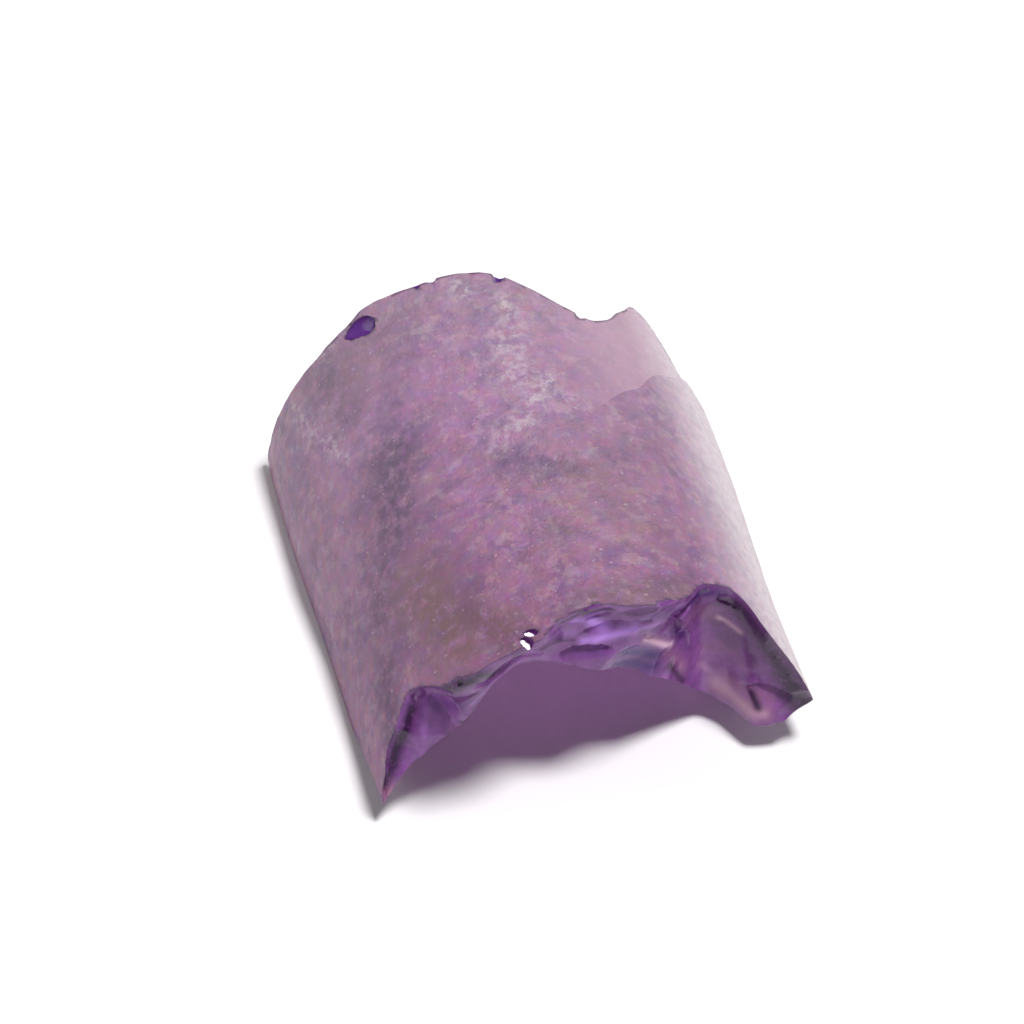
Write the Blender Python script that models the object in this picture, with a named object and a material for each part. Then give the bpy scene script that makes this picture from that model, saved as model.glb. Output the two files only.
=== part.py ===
"""Rough alexandrite: half of a grown crystal boule, split along its length and broken at both ends.

The stone lies on the floor on its split side. Its outside is the round skin that the crystal grew with.
A trough runs along the underside, off centre, so the left wall is thin and the right wall is thick.
Lengths are in millimetres here, angles in degrees, and meshes are scaled to metres when they are made.
+Z is up, and +Y runs along the boule, away from the arched end.
"""

import bmesh
import bpy
import numpy as np

MM = 0.001

# The skin: the boule's radius at its front and back ends, and how far its axis strays at the front.
SKIN_RADIUS = (13.05, 13.25)
AXIS_DRIFT = -0.15
SKIN_SWELL = 0.10
FRONT_END, BACK_END = -15.0, 13.5
SKIN_REACH = 3.0

# Where the front break meets the skin and where it meets the trough, as (across, along).
FRONT_RIM = [
    (-13.2, -15.1), (-12.7, -14.3), (-12.0, -13.6), (-11.1, -13.3), (-9.3, -13.7), (-7.4, -14.4),
    (-3.7, -14.5), (-2.1, -13.6), (0.2, -13.3), (2.4, -13.7), (5.3, -12.9), (6.9, -11.65),
    (8.4, -11.8), (9.1, -12.4), (10.3, -14.65), (11.3, -15.5), (12.3, -15.7), (13.2, -15.4),
]
FRONT_FOOT = [
    (-13.2, -15.1), (-11.4, -14.4), (-8.6, -14.4), (-7.3, -14.1), (-4.6, -12.9), (-3.0, -13.4),
    (0.8, -14.1), (3.3, -13.5), (5.3, -12.9), (6.9, -12.5), (7.9, -13.2), (9.2, -15.4), (10.2, -15.6),
    (12.0, -15.7), (13.2, -15.4),
]

# The arch that the trough makes at the front end, as (across, up).
FRONT_ARCH = [
    (-13.2, 1.3), (-11.4, 3.3), (-8.6, 5.6), (-5.9, 8.2), (-3.2, 9.2), (0.1, 8.2), (3.3, 6.0),
    (5.3, 4.0), (6.9, 2.3), (8.0, 1.8), (10.2, 1.9), (12.0, 2.8), (13.2, 3.6),
]
ARCH_FROM, ARCH_FADES = -14.0, -5.0

# The trough behind that arch: its middle, half its width and its height, at the front and back ends.
TROUGH_MIDDLE = (-2.6, -2.0)
TROUGH_HALF_WIDTH = (9.4, 8.5)
TROUGH_HEIGHT = (9.3, 6.2)
TROUGH_LEFT_POWER, TROUGH_RIGHT_POWER = 2.1, 2.5

# Where the back break meets the skin and the trough, as (across, along).
BACK_RIM = [
    (-13.3, 13.4), (-11.0, 13.55), (-8.4, 13.5), (-5.7, 14.1), (-2.6, 14.1), (0.3, 13.4),
    (2.4, 12.15), (5.0, 10.2), (6.2, 9.5), (7.0, 9.7), (8.6, 11.4), (9.5, 12.4), (10.1, 12.1), (10.9, 10.2),
    (11.5, 7.9), (12.2, 7.0), (13.3, 6.4),
]
BACK_FOOT = [
    (-13.3, 12.6), (-9.0, 12.9), (-3.0, 12.4), (3.0, 11.2), (6.5, 9.6), (9.5, 10.4), (13.3, 7.4),
]

# Shell-shaped bites in the breaks: (across, up), radius and depth.
FRONT_BITES = [
    ((8.7, 6.6), 4.6, 0.95), ((-9.4, 5.4), 2.6, 0.40), ((-11.6, 4.6), 1.6, 0.45),
    ((-7.2, 7.9), 1.9, 0.30), ((-1.6, 10.8), 1.7, 0.30), ((0.6, 11.2), 1.9, 0.50),
    ((2.0, 7.7), 2.0, 0.55), ((3.7, 10.0), 2.2, 0.45), ((4.7, 6.6), 1.6, 0.40),
    ((6.2, 8.8), 1.9, 0.40), ((11.4, 3.4), 1.5, 0.45),
]
BACK_BITES = [
    ((-9.5, 6.0), 6.0, 0.70), ((-3.0, 10.6), 4.2, 0.55), ((2.2, 8.8), 3.0, 0.50),
    ((8.2, 5.2), 5.0, 0.80), ((10.6, 2.0), 2.4, 0.40), ((-12.0, 2.2), 2.0, 0.35),
]
# The same in the roof of the trough, as (across, along).
ROOF_BITES = [
    ((-4.6, -9.6), 7.0, 0.60), ((0.6, -4.2), 6.0, 0.65), ((-5.2, 1.4), 6.5, 0.55),
    ((-0.6, 6.6), 5.5, 0.60), ((-6.0, 10.2), 4.5, 0.50), ((3.6, -9.0), 3.6, 0.45),
    ((4.2, 2.0), 3.4, 0.40),
]

# Chips off the skin's edges: the angle round the skin, and each chip's radius and depth.
FRONT_CHIPS = [
    (159, 0.9, 0.30), (131, 1.0, 0.28), (112, 1.1, 0.35), (90, 1.0, 0.30), (71, 1.3, 0.35),
    (52, 1.3, 0.40), (38, 1.0, 0.35), (26, 1.2, 0.40),
]
BACK_CHIPS = [
    (152, 0.9, 0.25), (130, 1.6, 0.35), (103, 1.1, 0.30), (84, 1.0, 0.30), (64, 1.3, 0.35),
    (36, 1.0, 0.30),
]

# The flake scar, where a thin shell came off the skin at the right: its edge, as (angle, along).
SCAR_EDGE = [
    (20, 8.2), (29, 7.2), (36, 6.5), (45, 5.3), (53, 3.7), (59, 3.1), (68, 1.9), (78, 0.9), (88, -0.4),
    (98, -1.8),
]
SCAR_DEPTH = 0.22
SCAR_STEP = 0.45
SCAR_FADES_OVER = 34.0

SKIN_SEGMENTS = 76
SKIN_STEP = 1.2
BREAK_STEP = 0.70
CUT_MARGIN = 2.0
CUT_DEPTH = 6.0
UNDER_FLOOR = 0.5
SNAP = 1e-4

# The middle of the finished stone's box, which comes to stand on the origin.
MIDDLE = (-0.09, -0.83)

SKIN_COLOUR = (0.28, 0.16, 0.29, 1.0)


def curve_through(points, at):
    """A smooth curve through the points, read at these places. It never overshoots between two points."""
    x, y = np.array(points, float).T
    slope = np.diff(y) / np.diff(x)
    turning = slope[1:] * slope[:-1] <= 0
    total = np.where(turning, 1.0, slope[1:] + slope[:-1])
    middle = np.where(turning, 0.0, 2 * slope[1:] * slope[:-1] / total)
    tangent = np.concatenate([slope[:1], middle, slope[-1:]])
    at = np.clip(at, x[0], x[-1])
    i = np.clip(np.searchsorted(x, at) - 1, 0, len(x) - 2)
    width = x[i + 1] - x[i]
    t = (at - x[i]) / width
    return (
        (2 * t**3 - 3 * t**2 + 1) * y[i]
        + (t**3 - 2 * t**2 + t) * width * tangent[i]
        + (3 * t**2 - 2 * t**3) * y[i + 1]
        + (t**3 - t**2) * width * tangent[i + 1]
    )


def ease(t):
    t = np.clip(t, 0.0, 1.0)
    return t * t * (3 - 2 * t)


def between(ends, share):
    return ends[0] + (ends[1] - ends[0]) * share


def towards_back(along):
    """0 at the front end of the stone and 1 at its back end."""
    return np.clip((along - FRONT_END) / (BACK_END - FRONT_END), 0.0, 1.0)


def skin_radius(angle, along):
    swell = np.sin(2.3 * angle + 0.21 * along) + 0.6 * np.sin(5.1 * angle - 0.34 * along + 1.0)
    return between(SKIN_RADIUS, towards_back(along)) + SKIN_SWELL * swell


def round_the_boule(angle, radius, along):
    """The place at an angle in radians: 0 is the right floor edge and pi the left one."""
    axis = AXIS_DRIFT * (1 - towards_back(along))
    return axis + radius * np.cos(angle), along, radius * np.sin(angle)


def hollows(u, v, bites):
    """How deep the shell-shaped bites go. Two that meet leave a sharp ridge between them."""
    depths = [
        depth * (1 - ((u - place[0]) ** 2 + (v - place[1]) ** 2) / radius**2)
        for place, radius, depth in bites
    ]
    return np.maximum(np.max(depths, axis=0), 0.0)


def trough_height(across, along):
    """How high the plain trough's roof stands above the floor. Below zero there is no trough."""
    share = towards_back(along)
    offset = (across - between(TROUGH_MIDDLE, share)) / between(TROUGH_HALF_WIDTH, share)
    power = np.where(offset < 0, TROUGH_LEFT_POWER, TROUGH_RIGHT_POWER)
    return between(TROUGH_HEIGHT, share) * (1 - np.abs(offset) ** power)


def underside(across, along):
    """The split side: the trough, which turns into the front arch and lifts the front tips off the floor."""
    roof = trough_height(across, along)
    roof = np.where(roof > 0, roof + hollows(across, along, ROOF_BITES), np.maximum(roof, -UNDER_FLOOR))
    at_front = ease((ARCH_FADES - along) / (ARCH_FADES - ARCH_FROM))
    return between((roof, curve_through(FRONT_ARCH, across)), at_front)


def from_foot_to_rim(foot, rim, across, up, roof):
    """How far along a break lies, running straight up from the trough's edge to the skin's edge."""
    skin = np.sqrt(np.maximum(SKIN_RADIUS[0] ** 2 - across**2, 0.0))
    share = ease((up - roof) / np.maximum(skin - roof, 0.5))
    return between((curve_through(foot, across), curve_through(rim, across)), share)


def front_break(across, up):
    lies = from_foot_to_rim(FRONT_FOOT, FRONT_RIM, across, up, curve_through(FRONT_ARCH, across))
    return lies + hollows(across, up, FRONT_BITES)


def back_break(across, up):
    roof = np.maximum(trough_height(across, BACK_END), 0.0)
    return from_foot_to_rim(BACK_FOOT, BACK_RIM, across, up, roof) - hollows(across, up, BACK_BITES)


def scar_radius(angle, behind_edge, along):
    """The scar's floor, which starts in a small step and fades out towards the top of the boule."""
    to_the_end = np.radians(SCAR_EDGE[-1][0]) - angle
    fading = ease(to_the_end / np.radians(SCAR_FADES_OVER))
    step = np.clip(1 - behind_edge / SCAR_STEP, 0.0, 1.0)
    return skin_radius(angle, along) - SCAR_DEPTH * (2 * fading - 1) + CUT_MARGIN * step


def new_object(name, shape, collection):
    """Turns a bmesh in millimetres into an object in metres, of triangles that face outwards."""
    bmesh.ops.triangulate(shape, faces=shape.faces)
    bmesh.ops.scale(shape, vec=(MM, MM, MM), verts=shape.verts)
    bmesh.ops.recalc_face_normals(shape, faces=shape.faces)
    if shape.calc_volume(signed=True) < 0:
        bmesh.ops.reverse_faces(shape, faces=shape.faces)
    mesh = bpy.data.meshes.new(name)
    shape.to_mesh(mesh)
    shape.free()
    made = bpy.data.objects.new(name, mesh)
    collection.objects.link(made)
    return made


def whole_skin(collection):
    """The half boule before it broke: a round skin, and a flat split side on the floor."""
    body = bmesh.new()
    start, end = FRONT_END - SKIN_REACH, BACK_END + SKIN_REACH
    bmesh.ops.create_cone(
        body, cap_ends=True, segments=SKIN_SEGMENTS * 2, radius1=1.0, radius2=1.0, depth=end - start
    )
    for corner in body.verts:
        x, y, z = corner.co
        corner.co = (x, z + (start + end) / 2, -y)
    for station in np.arange(start + SKIN_STEP, end - SKIN_STEP / 2, SKIN_STEP):
        everything = body.verts[:] + body.edges[:] + body.faces[:]
        bmesh.ops.bisect_plane(body, geom=everything, plane_co=(0, station, 0), plane_no=(0, 1, 0))
    everything = body.verts[:] + body.edges[:] + body.faces[:]
    split = bmesh.ops.bisect_plane(
        body, geom=everything, dist=SNAP, plane_co=(0, 0, 0), plane_no=(0, 0, 1), clear_inner=True
    )
    bmesh.ops.edgeloop_fill(body, edges=[e for e in split["geom_cut"] if isinstance(e, bmesh.types.BMEdge)])
    for corner in body.verts:
        x, along, z = corner.co
        angle = np.arctan2(max(z, 0.0), x)
        corner.co = round_the_boule(angle, skin_radius(angle, along), along)
    return new_object("alexandrite_rough", body, collection)


def lost_rock(name, u_range, v_range, near, far, collection):
    """The rock lost beyond a break: a grid over u and v shaped by near, joined to one shaped by far."""
    block = bmesh.new()
    counts = [int((high - low) / BREAK_STEP) for low, high in (u_range, v_range)]
    bmesh.ops.create_grid(block, x_segments=counts[0], y_segments=counts[1], size=0.5)
    near_side = block.verts[:]
    extruded = bmesh.ops.extrude_face_region(block, geom=block.faces[:])
    far_side = [e for e in extruded["geom"] if isinstance(e, bmesh.types.BMVert)]
    for side, shape in ((near_side, near), (far_side, far)):
        places = np.array([corner.co for corner in side]) + 0.5
        u, v = between(u_range, places[:, 0]), between(v_range, places[:, 1])
        for corner, place in zip(side, np.column_stack(np.broadcast_arrays(*shape(u, v)))):
            corner.co = place
    return new_object(name, block, collection)


def scar_rock(collection):
    """The thin shell that came off the skin. Its grid follows the scar's edge, so the step is clean."""
    def along_at(angle, behind_edge):
        return curve_through(SCAR_EDGE, np.degrees(angle)) + behind_edge

    def floor(turn, behind_edge):
        angle = turn / SKIN_RADIUS[1]
        along = along_at(angle, behind_edge)
        return round_the_boule(angle, scar_radius(angle, behind_edge, along), along)

    def outside(turn, behind_edge):
        angle = turn / SKIN_RADIUS[1]
        return round_the_boule(angle, SKIN_RADIUS[1] + 2 * CUT_MARGIN, along_at(angle, behind_edge))

    around = (-CUT_MARGIN, np.radians(SCAR_EDGE[-1][0]) * SKIN_RADIUS[1])
    return lost_rock("flake_scar", around, (0.0, BACK_END + SKIN_REACH), floor, outside, collection)


def chip_balls(collection):
    """A ball for each chip. It sinks into the corner between the skin and the break."""
    balls = bmesh.new()
    for chips, rim, outwards in ((FRONT_CHIPS, FRONT_RIM, -1), (BACK_CHIPS, BACK_RIM, 1)):
        for degrees, radius, depth in chips:
            angle = np.radians(degrees)
            across = SKIN_RADIUS[0] * np.cos(angle)
            along = curve_through(rim, across)
            ball = bmesh.ops.create_icosphere(balls, subdivisions=2, radius=radius)
            away = (radius - depth) / np.sqrt(2)
            middle = round_the_boule(angle, skin_radius(angle, along) + away, along + outwards * away)
            bmesh.ops.translate(balls, vec=middle, verts=ball["verts"])
    return new_object("edge_chips", balls, collection)


def break_off(stone, cutter):
    cutter.hide_render = True
    cutter.display_type = "WIRE"
    modifier = stone.modifiers.new(cutter.name, "BOOLEAN")
    modifier.operation = "DIFFERENCE"
    modifier.solver = "EXACT"
    modifier.object = cutter


def stone_material():
    material = bpy.data.materials.new("alexandrite")
    material.use_nodes = True
    shader = material.node_tree.nodes["Principled BSDF"]
    shader.inputs["Base Color"].default_value = SKIN_COLOUR
    shader.inputs["Roughness"].default_value = 0.45
    shader.inputs["Metallic"].default_value = 0.0
    shader.inputs["IOR"].default_value = 1.75
    return material


def build():
    for old in list(bpy.data.objects):
        bpy.data.objects.remove(old)
    stone_collection = bpy.data.collections.new("rough_alexandrite")
    cutters = bpy.data.collections.new("cutters")
    for collection in (stone_collection, cutters):
        bpy.context.scene.collection.children.link(collection)

    side = SKIN_RADIUS[1] + CUT_MARGIN
    across, up = (-side, side), (-CUT_MARGIN, side)
    front_far, back_far = FRONT_END - CUT_DEPTH, BACK_END + CUT_DEPTH
    stone = whole_skin(stone_collection)
    lost = [
        lost_rock(
            "front_break", across, up,
            lambda u, v: (u, front_break(u, v), v), lambda u, v: (u, front_far, v), cutters,
        ),
        lost_rock(
            "back_break", across, up,
            lambda u, v: (u, back_break(u, v), v), lambda u, v: (u, back_far, v), cutters,
        ),
        lost_rock(
            "split_side", across, (front_far, back_far),
            lambda u, v: (u, v, underside(u, v)), lambda u, v: (u, v, -CUT_DEPTH), cutters,
        ),
        scar_rock(cutters),
        chip_balls(cutters),
    ]
    for cutter in lost:
        break_off(stone, cutter)
    stone.data.materials.append(stone_material())

    stand = bpy.data.objects.new("stand", None)
    stand.location = (-MIDDLE[0] * MM, -MIDDLE[1] * MM, 0.0)
    stone_collection.objects.link(stand)
    for piece in (stone, *lost):
        piece.parent = stand


build()
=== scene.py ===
import bmesh
import bpy
import numpy as np
from mathutils import Matrix, Vector, noise


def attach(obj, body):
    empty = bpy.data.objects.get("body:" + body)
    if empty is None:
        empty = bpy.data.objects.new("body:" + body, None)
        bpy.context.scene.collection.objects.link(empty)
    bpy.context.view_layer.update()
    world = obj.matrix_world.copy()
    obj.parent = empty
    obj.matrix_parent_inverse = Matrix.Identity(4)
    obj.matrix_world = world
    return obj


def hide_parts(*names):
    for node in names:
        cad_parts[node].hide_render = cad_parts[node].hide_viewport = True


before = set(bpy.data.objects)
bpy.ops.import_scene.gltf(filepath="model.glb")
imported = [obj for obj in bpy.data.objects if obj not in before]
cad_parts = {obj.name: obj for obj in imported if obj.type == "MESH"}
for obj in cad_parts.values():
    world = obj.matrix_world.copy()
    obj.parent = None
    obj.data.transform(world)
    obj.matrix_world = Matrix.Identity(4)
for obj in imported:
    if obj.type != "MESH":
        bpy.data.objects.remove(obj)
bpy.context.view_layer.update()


# The camera stands well back and looks down on the stone from its broken front end, a little from
# the left, through a long lens. The view was found by laying the solid's edges over the photograph.
AZIMUTH, ELEVATION = -15.15, 49.11
STANDS_BACK = 0.300
LOOKS_AT = Vector((-0.00063, 0.00316, 0.00400))
LENS_MM, SENSOR_MM = 177.2, 36.0

turn, rise = np.radians(AZIMUTH), np.radians(ELEVATION)
back = Vector((np.sin(turn) * np.cos(rise), -np.cos(turn) * np.cos(rise), np.sin(rise)))
camera = bpy.data.objects.new("camera", bpy.data.cameras.new("camera"))
camera.location = LOOKS_AT + back * STANDS_BACK
camera.rotation_euler = (-back).to_track_quat("-Z", "Y").to_euler()
camera.data.lens = LENS_MM
camera.data.sensor_width = SENSOR_MM
camera.data.clip_start = 0.01
bpy.context.collection.objects.link(camera)
bpy.context.scene.camera = camera


# The crystal boule before it was split and broken: half a cylinder, about 26 mm across, with the
# frosted skin that it grew with. Its radius swells a little along and around, as grown skin does.
# Lengths are in mm until a mesh is made, and MIDDLE is the middle of the stone's box, which comes to
# stand on the origin.
MM = 0.001
MIDDLE = (-0.09, -0.83)
SKIN_RADIUS = (13.05, 13.25)
AXIS_DRIFT = -0.15
SKIN_SWELL = 0.10
SWELLS = [(1.0, 2.3, 0.21, 0.0), (0.6, 5.1, -0.34, 1.0)]
FRONT_END, BACK_END = -15.0, 13.5
SKIN_REACH = 3.0
SKIN_SEGMENTS = 150
SKIN_STEP = 0.30
GRAIN_MM, GRAIN_DEPTH = 1.3, 0.045
UNEVEN_MM, UNEVEN_DEPTH = 4.5, 0.10
GRAIN_RISE = 3
SNAP = 1e-4
SURFACES = ("grown skin", "fresh break", "flake scar", "split side")
GROWN_SKIN, FRESH_BREAK, FLAKE_SCAR, SPLIT_SIDE = range(4)


def ease(t):
    t = np.clip(t, 0.0, 1.0)
    return t * t * (3 - 2 * t)


def between(ends, share):
    return ends[0] + (ends[1] - ends[0]) * share


def towards_back(along):
    """0 at the front end of the stone and 1 at its back end."""
    return np.clip((along - FRONT_END) / (BACK_END - FRONT_END), 0.0, 1.0)


def skin_radius(angle, along):
    """Each swell has a share, how often it comes round the skin and along it, and where it starts."""
    swell = sum(share * np.sin(a * angle + b * along + start) for share, a, b, start in SWELLS)
    return between(SKIN_RADIUS, towards_back(along)) + SKIN_SWELL * swell


def round_the_boule(angle, radius, along):
    """The place at an angle in radians: 0 is the right floor edge and pi the left one."""
    axis = AXIS_DRIFT * (1 - towards_back(along))
    return axis + radius * np.cos(angle), along, radius * np.sin(angle)


def lumps(places, size, seed):
    """Soft lumps of about this size in mm, from -1 to 1, at each of the places."""
    shift = Vector((seed * 7.1, seed * 3.7, seed * 5.3))
    return np.array([noise.noise(Vector(place) / size + shift) for place in places])


def new_object(name, shape, surface):
    """Turns a bmesh in mm into an object in metres, of triangles that face outwards."""
    bmesh.ops.triangulate(shape, faces=shape.faces)
    bmesh.ops.scale(shape, vec=(MM, MM, MM), verts=shape.verts)
    bmesh.ops.recalc_face_normals(shape, faces=shape.faces)
    if shape.calc_volume(signed=True) < 0:
        bmesh.ops.reverse_faces(shape, faces=shape.faces)
    for face in shape.faces:
        face.material_index = surface
    mesh = bpy.data.meshes.new(name)
    shape.to_mesh(mesh)
    shape.free()
    for kind in SURFACES:
        mesh.materials.append(bpy.data.materials.get(kind) or bpy.data.materials.new(kind))
    made = bpy.data.objects.new(name, mesh)
    bpy.context.collection.objects.link(made)
    return made


boule = bmesh.new()
start, end = FRONT_END - SKIN_REACH, BACK_END + SKIN_REACH
bmesh.ops.create_cone(
    boule, cap_ends=True, segments=SKIN_SEGMENTS * 2, radius1=1.0, radius2=1.0, depth=end - start
)
for corner in boule.verts:
    x, y, z = corner.co
    corner.co = (x, z + (start + end) / 2, -y)
for station in np.arange(start + SKIN_STEP, end - SKIN_STEP / 2, SKIN_STEP):
    everything = boule.verts[:] + boule.edges[:] + boule.faces[:]
    bmesh.ops.bisect_plane(boule, geom=everything, plane_co=(0, station, 0), plane_no=(0, 1, 0))
everything = boule.verts[:] + boule.edges[:] + boule.faces[:]
split = bmesh.ops.bisect_plane(
    boule, geom=everything, dist=SNAP, plane_co=(0, 0, 0), plane_no=(0, 0, 1), clear_inner=True
)
bmesh.ops.edgeloop_fill(boule, edges=[e for e in split["geom_cut"] if isinstance(e, bmesh.types.BMEdge)])
for corner in boule.verts:
    x, along, z = corner.co
    angle = np.arctan2(max(z, 0.0), x)
    place = round_the_boule(angle, skin_radius(angle, along), along)
    bump = UNEVEN_DEPTH * noise.noise(Vector(place) / UNEVEN_MM)
    bump += GRAIN_DEPTH * noise.noise(Vector(place) / GRAIN_MM)
    bump *= min(z * GRAIN_RISE, 1.0)
    corner.co = round_the_boule(angle, skin_radius(angle, along) + bump, along)
stone = new_object("rough_stone", boule, GROWN_SKIN)


# The front break, where the boule snapped across. Alexandrite has no clean cleavage there, so the break
# is shell-shaped: shallow bites with sharp ridges between them and fine ripples that run round each bite.
# The rim and the foot are (across, along), where the break meets the skin and the trough. The arch is
# (across, up). A bite has its place as (across, up), its radius and its depth.
FRONT_RIM = [
    (-13.2, -15.1), (-12.7, -14.3), (-12.0, -13.6), (-11.1, -13.3), (-9.3, -13.7), (-7.4, -14.4),
    (-3.7, -14.5), (-2.1, -13.6), (0.2, -13.3), (2.4, -13.7), (5.3, -12.9), (6.9, -11.65),
    (8.4, -11.8), (9.1, -12.4), (10.3, -14.65), (11.3, -15.5), (12.3, -15.7), (13.2, -15.4),
]
FRONT_FOOT = [
    (-13.2, -15.1), (-11.4, -14.4), (-8.6, -14.4), (-7.3, -14.1), (-4.6, -12.9), (-3.0, -13.4),
    (0.8, -14.1), (3.3, -13.5), (5.3, -12.9), (6.9, -12.5), (7.9, -13.2), (9.2, -15.4), (10.2, -15.6),
    (12.0, -15.7), (13.2, -15.4),
]
FRONT_ARCH = [
    (-13.2, 1.3), (-11.4, 3.3), (-8.6, 5.6), (-5.9, 8.2), (-3.2, 9.2), (0.1, 8.2), (3.3, 6.0),
    (5.3, 4.0), (6.9, 2.3), (8.0, 1.8), (10.2, 1.9), (12.0, 2.8), (13.2, 3.6),
]
FRONT_BITES = [
    ((8.7, 6.6), 4.6, 0.95), ((-9.4, 5.4), 2.6, 0.40), ((-11.6, 4.6), 1.6, 0.45),
    ((-7.2, 7.9), 1.9, 0.30), ((-1.6, 10.8), 1.7, 0.30), ((0.6, 11.2), 1.9, 0.15),
    ((2.0, 7.7), 2.0, 0.55), ((3.7, 10.0), 2.2, 0.25), ((4.7, 6.6), 1.6, 0.40),
    ((6.2, 8.8), 1.9, 0.25), ((11.4, 3.4), 1.5, 0.45),
    ((9.3, 9.1), 0.55, 0.25), ((9.9, 8.0), 0.45, 0.22), ((10.5, 7.4), 0.60, 0.22),
    ((10.7, 6.2), 0.45, 0.18), ((11.3, 6.1), 0.50, 0.20), ((11.5, 5.0), 0.60, 0.22),
    ((9.4, 3.1), 0.40, 0.35), ((12.0, 4.2), 0.50, 0.22),
]
RIPPLE_MM, RIPPLE_DEPTH = 0.95, 0.012
RIPPLES_START, RIPPLES_END = 0.5, 3
FRONT_LUMPS = [(1.7, 0.10, 1), (0.5, 0.03, 2)]
# A facet has its middle, its reach across and up, its tilt across and up, and its depth. A ledge has its
# two ends, its depth, and how far up it fades.
FACETS = [
    ((0.9, 10.6), (2.6, 0.85), (0.02, 0.40), 0.10), ((-0.6, 9.5), (1.5, 0.6), (-0.10, 0.70), 0.15),
    ((3.8, 8.9), (1.3, 1.1), (0.35, 0.30), 0.22), ((5.0, 6.6), (0.9, 1.6), (0.35, 0.10), 0.40),
    ((-10.2, 5.4), (1.7, 2.2), (0.10, 0.45), 0.35), ((-7.6, 7.9), (2.4, 0.5), (-0.15, 0.60), 0.15),
    ((9.8, 3.0), (1.6, 1.1), (0.05, 0.55), 0.30), ((6.0, 9.8), (1.2, 0.8), (0.20, 0.40), 0.15),
    ((-3.4, 10.9), (1.4, 0.9), (0.15, 0.55), 0.20), ((2.2, 12.0), (1.3, 0.5), (0.10, 0.30), 0.06),
]
LEDGES = [
    ((7.9, 8.55), (8.95, 8.0), 0.14, 1.3), ((-0.9, 12.0), (0.9, 12.15), 0.12, 0.8),
    ((4.4, 9.9), (6.0, 10.3), 0.25, 0.9), ((10.3, 6.4), (11.2, 5.0), 0.08, 1.0),
    ((2.9, 9.35), (4.3, 8.3), 0.25, 0.9), ((-10.6, 6.9), (-8.6, 8.6), 0.22, 1.0),
]
FACET_EDGE_SLOPE = 2.5
LEDGE_LIP = 0.14
LEDGE_ENDS = 4
THINNEST_WALL = 0.5
CUT_MARGIN = 2.0
CUT_DEPTH = 6.0
FRONT_STEP = 0.12
OFF_THE_FLOOR = 0.07


def curve_through(points, at):
    """A smooth curve through the points, read at these places. It never overshoots between two points."""
    x, y = np.array(points, float).T
    slope = np.diff(y) / np.diff(x)
    turning = slope[1:] * slope[:-1] <= 0
    total = np.where(turning, 1.0, slope[1:] + slope[:-1])
    middle = np.where(turning, 0.0, 2 * slope[1:] * slope[:-1] / total)
    tangent = np.concatenate([slope[:1], middle, slope[-1:]])
    at = np.clip(at, x[0], x[-1])
    i = np.clip(np.searchsorted(x, at) - 1, 0, len(x) - 2)
    width = x[i + 1] - x[i]
    t = (at - x[i]) / width
    return (
        (2 * t**3 - 3 * t**2 + 1) * y[i]
        + (t**3 - 2 * t**2 + t) * width * tangent[i]
        + (3 * t**2 - 2 * t**3) * y[i + 1]
        + (t**3 - t**2) * width * tangent[i + 1]
    )


def shells(u, v, bites, ripple_depth):
    """How deep the shell-shaped bites go, with ripples round the middle of each."""
    depths = []
    for place, radius, depth in bites:
        away = np.hypot(u - place[0], v - place[1])
        inside = 1 - (away / radius) ** 2
        fading = np.clip(inside * RIPPLES_END, 0.0, 1.0)
        ripple = np.sin(2 * np.pi * away / RIPPLE_MM) * ripple_depth * fading
        depths.append(depth * inside + ripple * np.clip(away / RIPPLE_MM - RIPPLES_START, 0.0, 1.0))
    return np.maximum(np.max(depths, axis=0), 0.0)


def facets(u, v, flats):
    """Flat places where the break ran straight, each with a steep edge all round."""
    depths = []
    for place, reach, tilt, depth in flats:
        over = np.hypot((u - place[0]) / reach[0], (v - place[1]) / reach[1]) - 1
        plane = depth + tilt[0] * (u - place[0]) + tilt[1] * (v - place[1])
        depths.append(np.where(over < 0, plane, plane - FACET_EDGE_SLOPE * over))
    return np.maximum(np.max(depths, axis=0), 0.0)


def ledges(u, v, steps):
    """Small shelves that face up, each with a short lip below it."""
    total = 0.0
    for left, right, depth, fades in steps:
        run = (u - left[0]) / (right[0] - left[0])
        above = v - between((left[1], right[1]), np.clip(run, 0.0, 1.0))
        window = ease(run * LEDGE_ENDS + 0.5) * ease((1 - run) * LEDGE_ENDS + 0.5)
        total = total + depth * ease(above / LEDGE_LIP + 0.5) * (1 - ease(above / fades)) * window
    return total


def from_foot_to_rim(foot, rim, across, up, roof):
    """How far along a break lies, running straight up from the trough's edge to the skin's edge."""
    skin = np.sqrt(np.maximum(SKIN_RADIUS[0] ** 2 - across**2, 0.0))
    share = ease((up - roof) / np.maximum(skin - roof, THINNEST_WALL))
    return between((curve_through(foot, across), curve_through(rim, across)), share)


def lumpy(places, layers):
    """Layers of lumps added up: the size and the depth of each in mm, and its seed."""
    return sum(depth * lumps(places, size, seed) for size, depth, seed in layers)


def front_break(across, up):
    lies = from_foot_to_rim(FRONT_FOOT, FRONT_RIM, across, up, curve_through(FRONT_ARCH, across))
    rough = lumpy(np.column_stack([across, up * 0, up]), FRONT_LUMPS)
    bites = np.maximum(shells(across, up, FRONT_BITES, RIPPLE_DEPTH), facets(across, up, FACETS))
    return lies + bites + ledges(across, up, LEDGES) + rough


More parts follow.
